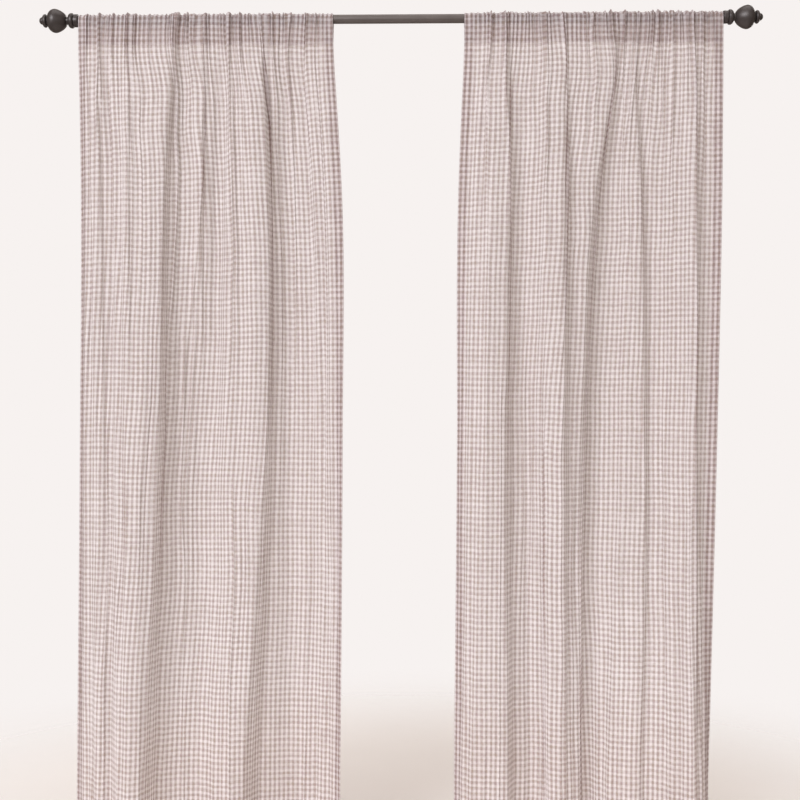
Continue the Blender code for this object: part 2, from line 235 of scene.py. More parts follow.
# Main folds. Each row is an edge, a crest or a hollow, from the panel's left edge to its right. x
# is its place along the rod and out is how far it stands towards the room, at four levels. sharp
# says how steeply the cloth then steps to the next row: 0 is one even slope, 1 a sharp fold. At the
# top the folds only begin.
FOLD_LEVELS = {"top": -0.075, "upper": -0.515, "middle": -1.230, "foot": -2.170}
FOLD_COLUMNS = ("x_top", "x_upper", "x_middle", "x_foot",
                "out_upper", "out_middle", "out_foot", "sharp")
TOP_DEPTH = 0.15
LEFT_FOLDS = [
    (-916, -911, -921, -932,  -10,  -35,  -45,  0.2),
    (-898, -888, -891, -897,    2,    0,  -17,  0.4),
    (-868, -862, -850, -846,   12,   18,   42,  0.6),
    (-840, -828, -822, -818,    4,   10,   30,  0.4),
    (-800, -796, -791, -780,   18,   34,   83,  0.2),
    (-785, -774, -765, -750,   30,   54,  100,  0.7),
    (-755, -752, -735, -721,   22,   54,   96,  0.3),
    (-650, -674, -684, -714,   25,   46,   82,  0.5),
    (-628, -650, -662, -690,   -6,  -12,    4,  0.2),
    (-605, -618, -627, -640,  -13,  -28,  -14,  0.2),
    (-590, -597, -600, -603,  -12,  -38,  -18,  0.2),
    (-572, -577, -576, -580,   -6,  -46,  -20,  1.0),
    (-543, -550, -552, -555,  -17,  -46,  -12,  0.2),
    (-506, -520, -540, -520,  -26,  -42,    8,  0.2),
    (-455, -475, -480, -480,   -2,   -5,   22,  0.3),
    (-406, -387, -392, -450,   10,    8,   16,  0.8),
    (-374, -355, -356, -400,  -28,  -44,  -58,  0.2),
    (-326, -314, -316, -300,  -34,  -54,  -84,  0.3),
    (-283, -268, -270, -254,  -28,  -48,  -73,  0.2),
    (-254, -226, -218, -209,   -6,  -20,  -50,  0.3),
    (-209, -186, -185, -188,    8,   10,  -32,  0.2),
    (-188, -161, -159, -168,   10,   26,  -14,  0.0),
]

# Loops where the pocket is pushed together. x is the place along the rod, share is how much of the
# spare cloth a loop takes beside the others, fade is how far down it runs, and drift is how far
# it strays across the cloth in each half metre of that.
PUCKER_COLUMNS = ("x", "share", "fade", "drift")
PUCKER_BASE = (6.0, 12.0)
PUCKER_PART = 0.46
PUCKER_SPREAD = 0.9
FADE_POWER = 1.5
PUCKER_ROUND = 0.12
PUCKER_LEAN = 0.9
LEAN_FADE = 0.060
PUCKER_DRIFT = 0.08
PRESSED = (0.1, 0.85)
PINCH = 1.8
DRIFT_REACH = 0.5
LEFT_PUCKERS = [
    (-896,  9, 220,   0),
    (-853, 11, 340, -20),
    (-816, 10, 280,   0),
    (-774, 14, 480,   0),
    (-750,  9, 220,   0),
    (-714,  4, 150,   0),
    (-672,  5, 280,   0),
    (-634, 15, 480,   0),
    (-600, 10, 280,   0),
    (-580, 10, 280,   0),
    (-558, 14, 420,   0),
    (-489, 12, 400,   0),
    (-455,  9, 250,   0),
    (-428, 11, 280,   0),
    (-388, 14, 400,   0),
    (-352,  9, 300,   0),
    (-311, 10, 280,   0),
    (-268, 11, 340,   0),
    (-238,  6, 480,   0),
]

# Main creases: thin pleats that start at the gathers or further down, each pressed over to one
# side. x_top and x_foot are their places along the rod at the heights top and foot, depth is how
# much cloth stands in them, and lean is how far over they lie: -1 to the left, 1 to the right. The
# pocket's gathers draw up more cloth in them.
CREASE_COLUMNS = ("x_top", "x_foot", "top", "foot", "depth", "lean")
CREASE_ROOT = 1.2
CREASE_FLANK = 1.12
CREASE_START = 0.080
CREASE_DRAWN = (1.3, 0.160)
CREASE_PRESSED = 0.65
CREASE_SLIP = 0.0035
SLIP_REACH = 0.030
LEFT_CREASES = [
    (-857, -865,     0,  -420, 5.0,  0.5),
    (-768, -760,     0,  -900, 6.5, -0.7),
    (-736, -733,  -150,  -900, 4.0,  0.5),
    (-640, -706,     0, -2500, 7.5, -0.6),
    (-594, -613,   -20,  -420, 5.0, -0.6),
    (-563, -566,     0,  -430, 8.0,  0.8),
    (-562, -612,  -300,  -930, 9.0,  0.7),
    (-494, -494,     0, -1150, 6.0,  0.6),
    (-456, -453,     0,  -760, 5.0, -0.6),
    (-384, -428,     0, -2500, 8.0, -0.8),
    (-357, -350,  -250, -1500, 4.0,  0.5),
    (-318, -309,     0, -1250, 5.5,  0.6),
    (-262, -258,     0,  -700, 4.5, -0.5),
    (-238, -228,  -150, -1950, 4.5,  0.5),
    (-618, -606,  -900, -2700, 5.0,  0.6),
    (-826, -832, -1100, -2500, 4.5, -0.5),
    (-472, -478, -1300, -2700, 4.0,  0.5),
]

# Small gathers that the pocket's stitching draws up, and below the seam faint creases and the
# slack of the cloth itself: humps and hollows of these widths, heights and depths, which are full
# from SLACK_START below the seam. The loops lift the weave a little on their way, and the seam
# that closes the pocket isn't quite level.
GATHERS = 80
GATHER_HEIGHT = (2.0, 4.6)
GATHER_WIDTH = (4.5, 8.5)
GATHER_GROUP = 0.075
GATHER_GROUPING = 0.75
GATHER_FADE = (100.0, 280.0)
GATHER_DRIFT = 0.10
ROD_SLACK = 2.4 * MM
FAINT_CREASES = 90
FAINT_HEIGHT = (1.2, 4.2)
FAINT_WIDTH = (5.5, 11.0)
FAINT_RUN = (300.0, 1300.0)
FAINT_DRIFT = 0.02
SEAM_SWAY = (0.110, 0.0032)
SLACK_START = 0.120
RIPPLES = ((0.052, 0.62, 0.0018), (0.023, 0.26, 0.0006))
SAGS = ((0.085, 0.30, 0.0020), (0.034, 0.12, 0.0008))
LOOP_LIFT = 0.35
LIFT_FADE = 0.110

# The cloth doesn't stretch, so at each height the folds are made steeper, and then deeper, until
# they take up its whole width. Half of a fold's flank is between these shares of its step across.
CLOTH_SAMPLES = 2033
STEEPEST = 0.96
HALF_FLANK = (0.07, 0.5)
SHARPEST = 0.12
DEEPEST = 4.0
TRIALS = 24
FLANK_POINTS = 25
LEVEL_POINTS = 7
SOFTENING = 5
HEIGHT_STEP = 12.5 * MM
HEIGHT_SOFTENING = 17

# Rows and columns of a panel's mesh. The columns stand closer by a side edge, at these distances
# from it in millimetres, and the rows closer towards the seam. A side hem's stitches lie a little
# in from the hem's own edge. The pocket's back comes in to a small gap behind the seam, in a curve
# of the power BACK_HANG.
EDGE_STEPS = (1.2, 2.4, 5.0, 9.0, 13.5, 18.0, 22.0)
TURNED_COLUMNS = len(EDGE_STEPS) + 2
HEM_LINE = SIDE_HEM - 2.0 * MM
COLUMN_STEP = 1.7 * MM
HEM_ROWS = 7
FIRST_FRONT_ROW = HEM_ROWS + 1
FOOT_TURN = 1.5 * MM
HANGING_ROWS = 96
ROW_CROWDING = 1.7
POCKET_ROWS = 9
ARC_ROWS = 14
POCKET_GAP = LAYER_GAP * 1.2
BACK_HANG = 1.2


def column(table, names, name, unit=MM):
    """One named column of a table, in metres unless another unit is given."""
    place = names.index(name)
    return np.array([row[place] for row in table], dtype=float) * unit


def spline(knots, values, at):
    """Smooth curve through values at rising knots, read at the given places."""
    slopes = np.gradient(values, knots)
    at = np.clip(at, knots[0], knots[-1])
    left = np.clip(np.searchsorted(knots, at, side="right") - 1, 0, len(knots) - 2)
    step = knots[left + 1] - knots[left]
    t = (at - knots[left]) / step
    return ((2 * t**3 - 3 * t**2 + 1) * values[left]
            + (t**3 - 2 * t**2 + t) * step * slopes[left]
            + (3 * t**2 - 2 * t**3) * values[left + 1]
            + (t**3 - t**2) * step * slopes[left + 1])


class Relief:
    """Soft humps and hollows between -1 and 1, of an even width and height."""

    def __init__(self, random, width, height):
        self.width, self.height = width, height
        counts = (int(CLOTH_DROP / height) + 3, int(CLOTH_WIDTH / width) + 3)
        self.knots = random.uniform(-1.0, 1.0, counts)

    def at(self, cloth, z):
        """Relief along the cloth at one height."""
        down = -min(z, 0.0) / self.height
        row = int(down)
        t = down - row
        t = t * t * (3.0 - 2.0 * t)
        knots = (1.0 - t) * self.knots[row] + t * self.knots[row + 1]
        across = np.clip(cloth, 0.0, CLOTH_WIDTH) / self.width
        left = across.astype(int)
        s = across - left
        s = s * s * (3.0 - 2.0 * s)
        return (1.0 - s) * knots[left] + s * knots[left + 1]


def settle(fits, low, high):
    """The value between low and high up to which fits() is true, by halving."""
    for _ in range(TRIALS):
        middle = 0.5 * (low + high)
        if fits(middle):
            low = middle
        else:
            high = middle
    return 0.5 * (low + high)


def stepped_line(knots_x, knots_out, half_flank):
    """A line through knots that steps softly from each to the next, and its length so far.

    half_flank is half of each step's width, as a share of the way between its two knots.
    """
    half = half_flank[:, None]
    level = np.linspace(0.0, 1.0, LEVEL_POINTS)[None]
    flank = np.linspace(-1.0, 1.0, FLANK_POINTS)[None]
    t = np.concatenate([(0.5 - half) * level[:, :-1], 0.5 + half * flank,
                        0.5 + half + (0.5 - half) * level[:, 1:-1]], axis=1)
    rise = np.clip((t - 0.5) / (2.0 * half) + 0.5, 0.0, 1.0)
    rise = rise * rise * (3.0 - 2.0 * rise)
    x = (knots_x[:-1, None] + np.diff(knots_x)[:, None] * t).ravel()
    out = (knots_out[:-1, None] + np.diff(knots_out)[:, None] * rise).ravel()
    x = np.append(x, knots_x[-1])
    out = np.append(out, knots_out[-1])
    return x, out, np.concatenate([[0.0], np.cumsum(np.hypot(np.diff(x), np.diff(out)))])


def soften(values, count):
    """Values with their corners taken off along the first axis, over an odd count of them."""
    weights = np.hanning(count + 2)[1:-1]
    ends = [(count // 2, count // 2)] + [(0, 0)] * (values.ndim - 1)
    padded = np.pad(values, ends, mode="reflect", reflect_type="odd")
    return sum(w * padded[i:i + len(values)] for i, w in enumerate(weights)) / weights.sum()


class Panel:
    """One hanging width of cloth, read by its distance along the cloth and its height."""

    def __init__(self, folds, puckers, creases, seed):
        random = np.random.default_rng(seed)
        self.cloth = np.linspace(0.0, CLOTH_WIDTH, CLOTH_SAMPLES)
        names = list(FOLD_LEVELS)[::-1]
        self.levels = np.array([FOLD_LEVELS[name] for name in names])
        self.fold_x = np.array([column(folds, FOLD_COLUMNS, "x_" + name) for name in names])
        out = [column(folds, FOLD_COLUMNS, "out_" + name) for name in names[:-1]]
        self.fold_out = np.array([*out, TOP_DEPTH * out[-1]])
        self.sharp = column(folds, FOLD_COLUMNS, "sharp", 1.0)[:-1]

        edge_left, edge_right = self.fold_x[-1, [0, -1]]
        share = column(puckers, PUCKER_COLUMNS, "share", 1.0)
        spare = CLOTH_WIDTH - (edge_right - edge_left)
        taken = PUCKER_PART * spare * share / share.sum()
        base = random.uniform(*PUCKER_BASE, len(share)) * MM
        gathered = 1.0 + (1.0 - PUCKER_PART) * spare / (edge_right - edge_left)
        self.puckers = np.column_stack([
            ((column(puckers, PUCKER_COLUMNS, "x") - edge_left) * gathered
             + np.cumsum(taken) - 0.5 * taken),
            taken + base,
            base,
            column(puckers, PUCKER_COLUMNS, "fade"),
            (column(puckers, PUCKER_COLUMNS, "drift") / DRIFT_REACH
             + random.uniform(-PUCKER_DRIFT, PUCKER_DRIFT, len(share))),
            random.uniform(-PUCKER_LEAN, PUCKER_LEAN, len(share)),
            random.uniform(*PRESSED, len(share))])
        places = CLOTH_WIDTH * (np.arange(GATHERS) + random.uniform(0.15, 0.85, GATHERS)) / GATHERS
        crowding = Relief(random, GATHER_GROUP, CLOTH_DROP).at(places, 0.0)
        self.gathers = np.column_stack([
            places,
            random.uniform(*GATHER_HEIGHT, GATHERS) * (1.0 + GATHER_GROUPING * crowding) * MM,
            random.uniform(*GATHER_WIDTH, GATHERS) * MM,
            random.uniform(*GATHER_FADE, GATHERS) * MM,
            random.uniform(-GATHER_DRIFT, GATHER_DRIFT, GATHERS)])
        count = FAINT_CREASES
        self.faint = np.column_stack([
            random.uniform(0.01, CLOTH_WIDTH - 0.01, count),
            random.uniform(*FAINT_HEIGHT, count) * random.choice([-1.0, 1.0], count) * MM,
            random.uniform(*FAINT_WIDTH, count) * MM,
            random.uniform(FOOT_Z, STITCH_Z, count),
            random.uniform(*FAINT_RUN, count) * MM,
            random.uniform(-FAINT_DRIFT, FAINT_DRIFT, count)])
        self.ripples = [(Relief(random, width, height), depth) for width, height, depth in RIPPLES]
        self.sags = [(Relief(random, width, height), depth) for width, height, depth in SAGS]
        self.sway = SEAM_SWAY[1] * Relief(random, SEAM_SWAY[0], CLOTH_DROP).at(self.cloth, 0.0)

        # On the rod the loops, creases and gathers alone take up the spare cloth.
        def fits(gathering):
            self.gathering = gathering
            return self.run(self.relief(POCKET_CENTRE_Z)[0])[-1] > edge_right - edge_left

        # Each main crease is set on the yarns that hang at its places. It takes up cloth of its own
        # there, so it is placed a second time.
        self.gathering = 1.0
        self.creases = []
        slips = random.uniform(-CREASE_SLIP, CREASE_SLIP, len(creases))
        for _ in range(2):
            self.gathering = settle(fits, 0.0, DEEPEST)
            placed = []
            for crease, slip in zip(creases, slips):
                size = dict(zip(CREASE_COLUMNS, crease))
                top, foot = size["top"] * MM, size["foot"] * MM
                placed.append((self.yarn_at(size["x_top"] * MM, top),
                               self.yarn_at(size["x_foot"] * MM, max(foot, FOOT_Z)),
                               top, foot, size["depth"] * MM, size["lean"], slip))
            self.creases = placed
        self.gathering = settle(fits, 0.0, DEEPEST)

        # The yarns hang in smooth lines, so the plans are softened from each height to the next.
        self.heights = np.arange(POCKET_CENTRE_Z, FOOT_Z - HEIGHT_STEP, -HEIGHT_STEP)
        self.plans = soften(np.array([self.plan(z) for z in self.heights]), HEIGHT_SOFTENING)

    def loops(self, z):
        """How far the loops stand out, lean, and are pressed down on the rod, at one height."""
        below_pocket = self.levels[-1] - z
        leaning = math.exp(min(0.0, z - STITCH_Z) / LEAN_FADE)
        out, lean, pressed = np.zeros((3, CLOTH_SAMPLES))
        rounded = math.hypot(1.0, PUCKER_ROUND)
        for place, length, base, fade, drift, tilt, press in self.puckers:
            left = math.exp(-(max(0.0, below_pocket) / fade)**FADE_POWER)
            height = 0.5 * left * math.sqrt(length**2 - base**2)
            half = 0.5 * length * (1.0 + PUCKER_SPREAD * (1.0 - left))
            across = np.minimum(1.0, np.abs(self.cloth - place - drift * below_pocket) / half)
            raised = (rounded - np.hypot(across, PUCKER_ROUND)) / (rounded - PUCKER_ROUND)
            out += height * raised
            lean += leaning * tilt * height * raised
            pressed += height * (raised - (1.0 - press) * raised**PINCH)
        return out, lean, pressed

    def gathered(self, z):
        """How far the small gathers stand out: most on the rod and in the pocket, less below."""
        out = np.zeros_like(self.cloth)
        below_seam = max(0.0, STITCH_Z - z)
        for place, height, width, fade, drift in self.gathers:
            left = math.exp(-(below_seam / fade)**FADE_POWER)
            across = np.abs(self.cloth - place - drift * below_seam) / width
            out += left * height * (0.5 + 0.5 * np.cos(math.pi * np.clip(across, 0.0, 1.0)))
        return out

    def yarn_at(self, x, z):
        """Distance along the cloth of the yarn that hangs at one place."""
        return float(np.interp(x, np.maximum.accumulate(self.plan(z)[0]), self.cloth))

    def creased(self, z):
        """The main creases at one height: cloth in them, lean, how far laid over, and slip."""
        depths, lean, laid, slipped = np.zeros((4, CLOTH_SAMPLES))
        for yarn_top, yarn_foot, top, foot, depth, tilt, slip in self.creases:
            down = (min(top, self.levels[-1]) - z) / (min(top, self.levels[-1]) - foot)
            started = 1.0 if top > STITCH_Z else min(1.0, max(0.0, (top - z) / CREASE_START))
            left = started * math.sqrt(max(0.0, 1.0 - max(0.0, down)**2))
            if left == 0.0:
                continue
            deeper, fade = CREASE_DRAWN
            depth *= 1.0 + (deeper - 1.0) * math.exp(-(max(0.0, self.levels[-1] - z) / fade)**2)
            half = CREASE_FLANK * depth + CREASE_ROOT * MM
            apart = self.cloth - (yarn_top + (yarn_foot - yarn_top) * max(0.0, down))
            raised = left * depth * (0.5 + 0.5 * np.cos(math.pi * np.clip(apart / half, -1.0, 1.0)))
            depths += raised
            lean += tilt * raised
            laid += (1.0 - math.sqrt(1.0 - tilt**2)) * raised
            slipped += (left * slip * np.clip(apart / half, -1.0, 1.0)
                        * np.exp(-np.maximum(0.0, np.abs(apart) - half) / SLIP_REACH))
        return depths, lean, laid, slipped

    def faintly_creased(self, z):
        """How far the faint creases stand out at one height: each fades in and out of its run."""
        out = np.zeros_like(self.cloth)
        for place, height, width, middle, run, drift in self.faint:
            left = max(0.0, 1.0 - (2.0 * (z - middle) / run)**2)
            across = np.abs(self.cloth - place - drift * (middle - z)) / width
            out += left * height * (0.5 + 0.5 * np.cos(math.pi * np.clip(across, 0.0, 1.0)))
        return out

    def under_rod(self, z):
        """0 on the rod, and 1 from the top of the main folds downwards."""
        return min(1.0, max(0.0, (-ROD_RADIUS - z) / (-ROD_RADIUS - self.levels[-1])))

    def relief(self, z):
        """What stands on the main folds at one height: stand-out, lean, pressed, laid over, lift."""
        loops, lean, pressed = self.loops(z)
        creases, crease_lean, laid, slipped = self.creased(z)
        out = loops + creases + self.gathering * self.gathered(z)
        slack = min(1.0, max(0.0, STITCH_Z - z) / SLACK_START)
        out += slack * self.faintly_creased(z)
        for ripple, depth in self.ripples:
            out += slack * depth * ripple.at(self.cloth, z)
        lift = slipped + LOOP_LIFT * 0.5 * math.pi * loops * math.exp(
            min(0.0, z - POCKET_CENTRE_Z) / LIFT_FADE)
        clear_of_rod = ROD_SLACK + max(0.0, -ROD_RADIUS - z)
        pressed = pressed + CREASE_PRESSED * (creases - laid)
        return np.maximum(out, -clear_of_rod), lean + crease_lean, pressed, laid, lift

    def run(self, out):
        """How far the cloth gets along the main folds when it stands out from them by this."""
        slopes = np.clip(np.gradient(out, self.cloth), -STEEPEST, STEEPEST)
        along = np.sqrt(1.0 - slopes**2)
        steps = 0.5 * (along[1:] + along[:-1]) * (self.cloth[1] - self.cloth[0])
        return np.concatenate([[0.0], np.cumsum(steps)])

    def main_folds(self, z, need):
        """Plan of the main folds at one height, as long as what the cloth has left for them."""
        read_z = min(z, self.levels[-1])
        x = np.array([spline(self.levels, values, read_z) for values in self.fold_x.T])
        out = np.array([spline(self.levels, values, read_z) for values in self.fold_out.T])
        out *= self.under_rod(z)

        def line(steep, depth):
            half_flank = np.clip(HALF_FLANK[1] * steep**self.sharp, *HALF_FLANK)
            return stepped_line(x, depth * out, half_flank)

        if line(1.0, 1.0)[2][-1] > need:
            return line(1.0, settle(lambda depth: line(1.0, depth)[2][-1] < need, 0.0, 1.0))
        if line(SHARPEST, 1.0)[2][-1] < need:
            return line(SHARPEST, settle(lambda depth: line(SHARPEST, depth)[2][-1] < need,
                                         1.0, DEEPEST))
        return line(settle(lambda steep: line(steep, 1.0)[2][-1] > need, SHARPEST, 1.0), 1.0)

    def plan(self, z):
        """Place, stand-out, pressed, lift and height of the whole width of cloth at one height."""
        relief, lean, pressed, laid, lift = self.relief(z)
        run = self.run(relief)
        relief = relief - laid
        fold_x, fold_out, length = self.main_folds(z, run[-1])
        length = length * run[-1] / length[-1]
        x = soften(np.interp(run, length, fold_x), SOFTENING)
        out = soften(np.interp(run, length, fold_out), SOFTENING)
        slope_x, slope_out = np.gradient(x), np.gradient(out)
        size = np.hypot(slope_x, slope_out)
        for sag, depth in self.sags:
            lift += self.under_rod(z) * depth * sag.at(self.cloth, z)
        sway = min(1.0, max(0.0, (POCKET_CENTRE_Z - z) / (POCKET_CENTRE_Z - STITCH_Z))) * self.sway
        return (x + (slope_x * lean - slope_out * relief) / size,
                out + (slope_out * lean + slope_x * relief) / size, pressed, lift, z + sway)

    def at(self, z):
        """The softened plan at one height."""
        down = min(max(0.0, (POCKET_CENTRE_Z - z) / HEIGHT_STEP), len(self.heights) - 1.001)
        row = int(down)
        return (row + 1 - down) * self.plans[row] + (down - row) * self.plans[row + 1]


def cloth_columns():
    """Columns of a panel's mesh: signed distance along the cloth, and how far each lies behind.

    Below 0 and above the cloth's width they are the side hems, turned back behind the front.
    """
    steps = np.array(EDGE_STEPS) * MM
    inner = np.linspace(HEM_LINE, CLOTH_WIDTH - HEM_LINE,
                        int((CLOTH_WIDTH - 2 * HEM_LINE) / COLUMN_STEP) + 1)
    edge = np.array([0.0, *steps])
    turned = np.array([SIDE_HEM, HEM_LINE, *steps[::-1]])
    front = np.concatenate([edge, inner, CLOTH_WIDTH - edge[::-1]])
    along = np.concatenate([-turned, front, CLOTH_WIDTH + turned[::-1]])
    behind = np.where((along < 0) | (along > CLOTH_WIDTH), LAYER_GAP, 0.0)
    behind[(along == 0.0) | (along == CLOTH_WIDTH)] = 0.5 * LAYER_GAP
    return along, behind


def hanging_heights():
    """Heights of the front's rows, from the foot up to the seam."""
    share = np.linspace(1.0, 0.0, HANGING_ROWS)**ROW_CROWDING
    return STITCH_Z - (STITCH_Z - FOOT_Z - FOOT_TURN) * share


def cloth_grid(panel):
    """Points, normals and weave coordinates of a panel, in rows.

    The rows run down the hem's back, up the front, over the rod and down the back of the pocket.
    """
    along, behind = cloth_columns()
    place = np.abs(along)
    place = np.where(place > CLOTH_WIDTH, 2 * CLOTH_WIDTH - place, place)
    points, normals, weave = [], [], []

    def read(z):
        x, out, pressed, lift, level = panel.at(z)
        slope_x = np.gradient(x)
        slope_out = np.gradient(out)
        size = np.hypot(slope_x, slope_out)
        return [np.interp(place, panel.cloth, values)
                for values in (x, out, pressed, lift, level, -slope_out / size, -slope_x / size)]

    def add_row(x, y, z, across, up, back, down):
        normal = np.stack([across, back, up], axis=1)
        points.append(np.stack([x, y, z], axis=1) - normal * behind[:, None])
        normals.append(normal)
        weave.append(np.stack([along, down], axis=1))

    def hang(z, layer, down):
        x, out, _, lift, level, across, back = read(z)
        y = -POCKET_RADIUS - out
        flat = np.zeros_like(x)
        add_row(x - layer * across, y - layer * back, level, across, flat, back, down - lift)

    quarter = 0.5 * math.pi * POCKET_RADIUS
    foot_down = quarter + POCKET_CENTRE_Z - FOOT_Z
    for z in np.linspace(FOOT_Z + FOOT_HEM, FOOT_Z + FOOT_TURN, HEM_ROWS):
        hang(z, 2.0 * LAYER_GAP, foot_down + z - FOOT_Z)
    hang(FOOT_Z, LAYER_GAP, foot_down)
    in_pocket = np.linspace(STITCH_Z, POCKET_CENTRE_Z, POCKET_ROWS)[1:]
    for z in (*hanging_heights(), *in_pocket):
        hang(z, 0.0, quarter + POCKET_CENTRE_Z - z)

    x, ridge, pressed, _, _, across, back = read(POCKET_CENTRE_Z)
    for turn in np.linspace(0.0, math.pi, ARC_ROWS + 1)[1:]:
        swing = math.sin(turn)
        reach = POCKET_RADIUS + ridge - pressed * swing**2
        add_row(x, -reach * math.cos(turn), POCKET_CENTRE_Z + reach * swing,
                across, -back * swing, back * math.cos(turn), reach * (0.5 * math.pi - turn))

    seam_x, seam_out, _, _, seam_level, seam_across, seam_back = read(STITCH_Z)
    seam_y = -POCKET_RADIUS - seam_out - POCKET_GAP * seam_back
    seam_x = seam_x - POCKET_GAP * seam_across
    for z in in_pocket[::-1][1:]:
        share = (POCKET_CENTRE_Z - z) / (POCKET_CENTRE_Z - STITCH_Z)
        add_row(x + share * (seam_x - x), reach + share**BACK_HANG * (seam_y - reach),
                z + share * (seam_level - STITCH_Z), -across, np.zeros_like(x), -back,
                -(reach * 0.5 * math.pi + POCKET_CENTRE_Z - z))
    add_row(seam_x, seam_y, seam_level, -seam_across, np.zeros_like(x), -seam_back,
            -(reach * 0.5 * math.pi + POCKET_CENTRE_Z - STITCH_Z))
    return np.array(points), np.array(normals), np.array(weave)


def new_object(name, data):
    """A new object in the scene, at the origin."""
    made = bpy.data.objects.new(name, data)
    bpy.context.scene.collection.objects.link(made)
    return made


def soft_piece(name, points, faces, material):
    """One smooth mesh piece from its points and faces."""
    mesh = bpy.data.meshes.new(name)
    mesh.from_pydata(points.tolist(), [], faces.tolist())
    mesh.shade_smooth()
    mesh.materials.append(material)
    made = new_object(name, mesh)
    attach(made, "root")
    return made


def sheet_of_cloth(name, points, weave, material):
    """One mesh sheet from rows of points, with its weave coordinates as a UV map in metres."""
    rows, columns = points.shape[:2]
    index = np.arange(rows * columns).reshape(rows, columns)
    faces = np.stack([index[:-1, :-1], index[:-1, 1:], index[1:, 1:], index[1:, :-1]], axis=2)
    faces = faces.reshape(-1, 4)
    made = soft_piece(name, points.reshape(-1, 3), faces, material)
    layer = made.data.uv_layers.new(name="weave")
    layer.data.foreach_set("uv", weave.reshape(-1, 2)[faces.ravel()].ravel())
    return made


# Gingham repeat: a white and a taupe stripe of equal width both ways, with soft edges. The warp
# yarns lie closer than the weft and show more.
CHECK_ACROSS = CLOTH_WIDTH / 74
CHECK_DOWN = 16.3 * MM
WEFT_START = 1.0
WARP_SHARE = 0.61


def sheer_gingham_voile():
    """Slubby cotton voile in a plain weave: sheer, matt, and lit through from behind."""
    made, tree, output = new_material("cotton_gingham_voile")
    place = add_node(tree, "UVMap", {}, uv_map="weave").outputs[0]
    wander = add_node(tree, "TexNoise", {"Vector": place, "Scale": 1 / (45 * MM), "Detail": 3.0})
    shift = add_node(tree, "MapRange", {6: wander.outputs["Color"], 9: (-0.9 * MM,) * 3,
                                        10: (0.9 * MM,) * 3}, data_type="FLOAT_VECTOR")
    moved = add_node(tree, "VectorMath", {0: place, 1: shift.outputs["Vector"]}, operation="ADD")
    axes = add_node(tree, "SeparateXYZ", {0: moved.outputs[0]})

    def stripes(axis, repeat, shade):
        turns = add_node(tree, "Math", {0: axes.outputs[axis], 1: 2.0 * math.pi / repeat,
                                        2: shade}, operation="MULTIPLY_ADD")
        wave = add_node(tree, "Math", {0: turns.outputs[0]}, operation="COSINE")
        return add_node(tree, "MapRange", {"Value": wave.outputs[0], "From Min": -0.8,
                                           "From Max": 0.8}, interpolation_type="SMOOTHSTEP")

    warp = stripes(0, CHECK_ACROSS, 0.0)
    weft = stripes(1, CHECK_DOWN, WEFT_START)
    white = add_node(tree, "Mix", {0: WARP_SHARE, 2: weft.outputs[0], 3: warp.outputs[0]})

    def slubs(across, down, low, high):
        stretched = add_node(tree, "VectorMath", {0: place, 1: (1 / across, 1 / down, 1.0)},
                             operation="MULTIPLY")
        noise = add_node(tree, "TexNoise", {"Vector": stretched.outputs[0], "Scale": 1.0,
                                            "Detail": 1.0})
        return add_node(tree, "MapRange", {"Value": noise.outputs[0], "From Min": low,
                                           "From Max": high}, interpolation_type="SMOOTHSTEP")

    # A few yarns together took the dye more or less than their neighbours, both ways.
    for cast in (slubs(5 * MM, 150 * MM, 0.25, 0.75), slubs(150 * MM, 6 * MM, 0.25, 0.75),
                 slubs(8 * MM, 9 * MM, 0.25, 0.75)):
        uneven = add_node(tree, "Math", {0: cast.outputs[0], 1: 0.20, 2: -0.10},
                          operation="MULTIPLY_ADD")
        white = add_node(tree, "Math", {0: white.outputs[0], 1: uneven.outputs[0]}, operation="ADD")

    # Slubs are thick places in the yarn. They are drawn 1.1 mm thick, twice the real ones.
    weft_slubs = slubs(26 * MM, 1.1 * MM, 0.52, 0.72)
    warp_slubs = slubs(1.1 * MM, 34 * MM, 0.54, 0.74)
    slub = add_node(tree, "Math", {0: weft_slubs.outputs[0], 1: warp_slubs.outputs[0]},
                    operation="MAXIMUM")
    yarn = add_node(tree, "Math", {0: slub.outputs[0], 1: -0.13, 2: white.outputs[0]},
                    operation="MULTIPLY_ADD", use_clamp=True)
    tint = add_node(tree, "TexNoise", {"Vector": place, "Scale": 1 / (14 * MM), "Detail": 2.0})
    tint = add_node(tree, "MapRange", {"Value": tint.outputs[0], "From Min": 0.35, "From Max": 0.65})
    taupe = add_node(tree, "Mix", {0: tint.outputs[0], 6: linear("#A29088"), 7: linear("#A59193")},
                     data_type="RGBA")
    colour = add_node(tree, "Mix", {0: yarn.outputs[0], 6: taupe.outputs[2],
                                    7: linear("#EDE6E9")}, data_type="RGBA")
    cover = add_node(tree, "MapRange", {"Value": slub.outputs[0], "To Min": 0.77, "To Max": 0.92})
    height = add_node(tree, "Math", {0: slub.outputs[0], 1: wander.outputs[0]}, operation="ADD")
    bump = add_node(tree, "Bump", {"Height": height.outputs[0], "Strength": 0.35,
                                   "Distance": 0.25 * MM})
    front = add_node(tree, "BsdfPrincipled", {
        "Base Color": colour.outputs[2], "Roughness": 0.92, "Normal": bump.outputs[0],
        "Specular IOR Level": 0.25, "Sheen Weight": 0.12, "Sheen Roughness": 0.5})
    through = add_node(tree, "BsdfTranslucent", {"Color": colour.outputs[2]})
    lit = add_node(tree, "MixShader", {0: 0.30, 1: front.outputs[0], 2: through.outputs[0]})
    clear = add_node(tree, "BsdfTransparent", {"Color": linear("#FFF7F0")})
    sheer = add_node(tree, "MixShader", {0: cover.outputs[0], 1: clear.outputs[0],
                                         2: lit.outputs[0]})
    tree.links.new(sheer.outputs[0], output.inputs["Surface"])
    return made


